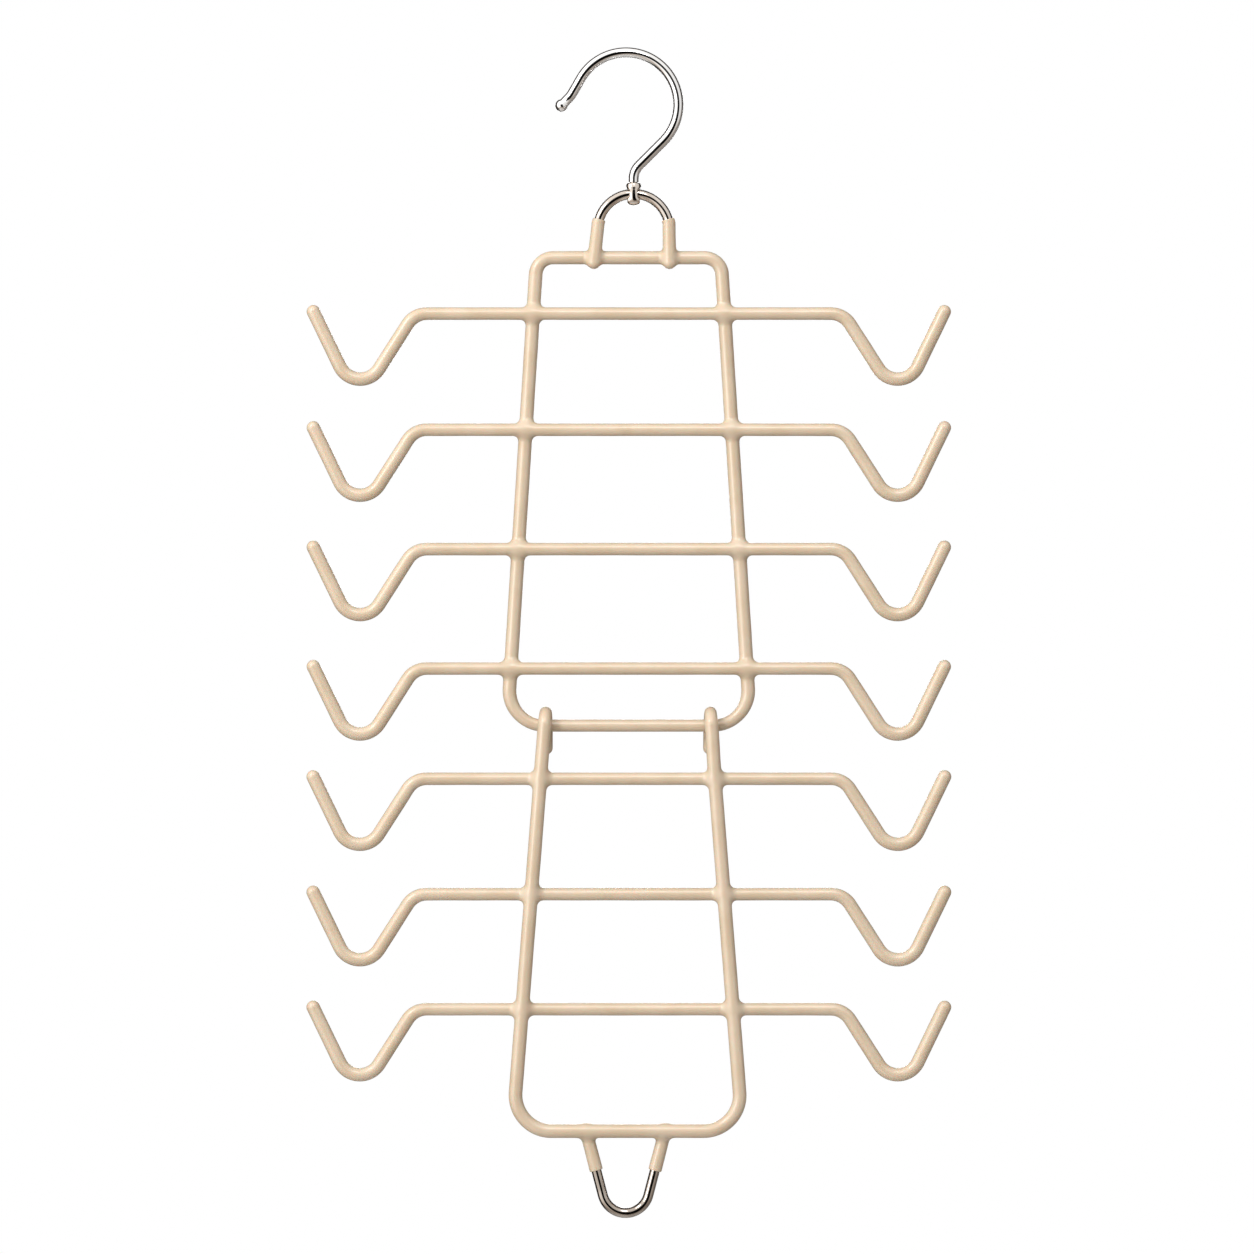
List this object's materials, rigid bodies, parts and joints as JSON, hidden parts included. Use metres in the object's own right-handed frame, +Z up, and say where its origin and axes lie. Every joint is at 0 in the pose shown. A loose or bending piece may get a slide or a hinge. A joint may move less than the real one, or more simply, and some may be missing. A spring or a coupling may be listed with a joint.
{
  "type": "multi-tier underwear hanger",
  "caption": "Hanging wire rack for underwear: swivelling chrome hook, two hinged PVC-dipped wire frames, cross tiers with a V-shaped trough at each end, and a bottom loop.",
  "frame": {"origin": "the inside of the hook's crown, on the hook wire's centre plane, where the closet rod carries the hanger", "axes": "+Z up, +X to the right of someone facing the hanger, +Y away from them; the hanger is flat in XZ"},
  "size_m": [0.2576, 0.0163, 0.4677],
  "materials": {
    "chrome": "bright chrome plate on steel wire",
    "pvc_coat": "cream beige PVC dip, satin gloss",
    "wire_core": "drawn steel wire, under the coat"
  },
  "bodies": {
    "hook": {"hook_wire": "chrome"},
    "eye": {"swivel_eye": "chrome"},
    "upper_frame": {"upper_frame_wire": "wire_core", "upper_frame_coat": "pvc_coat", "arch_wire": "chrome", "arch_left_coat": "pvc_coat", "arch_right_coat": "pvc_coat", "tier_1_wire": "wire_core", "tier_1_coat": "pvc_coat", "tier_2_wire": "wire_core", "tier_2_coat": "pvc_coat", "tier_3_wire": "wire_core", "tier_3_coat": "pvc_coat", "tier_4_wire": "wire_core", "tier_4_coat": "pvc_coat"},
    "lower_frame": {"lower_frame_wire": "wire_core", "lower_frame_coat": "pvc_coat", "bottom_loop_wire": "chrome", "loop_left_coat": "pvc_coat", "loop_right_coat": "pvc_coat", "tier_5_wire": "wire_core", "tier_5_coat": "pvc_coat", "tier_6_wire": "wire_core", "tier_6_coat": "pvc_coat", "tier_7_wire": "wire_core", "tier_7_coat": "pvc_coat"}
  },
  "joints": [
    {"name": "hook_swivel", "type": "hinge", "parent": "hook", "child": "eye", "pos_m": [0.003, 0, -0.0546], "axis": [0, 0, 1], "continuous": true},
    {"name": "frame_rock", "type": "hinge", "parent": "eye", "child": "upper_frame", "pos_m": [0.003, 0, -0.0546], "axis": [1, 0, 0], "range_deg": [-130, 130]},
    {"name": "lower_fold", "type": "hinge", "parent": "upper_frame", "child": "lower_frame", "pos_m": [0.0011, 0.00215, -0.2673], "axis": [1, 0, 0], "range_deg": [-145, 162]}
  ]
}
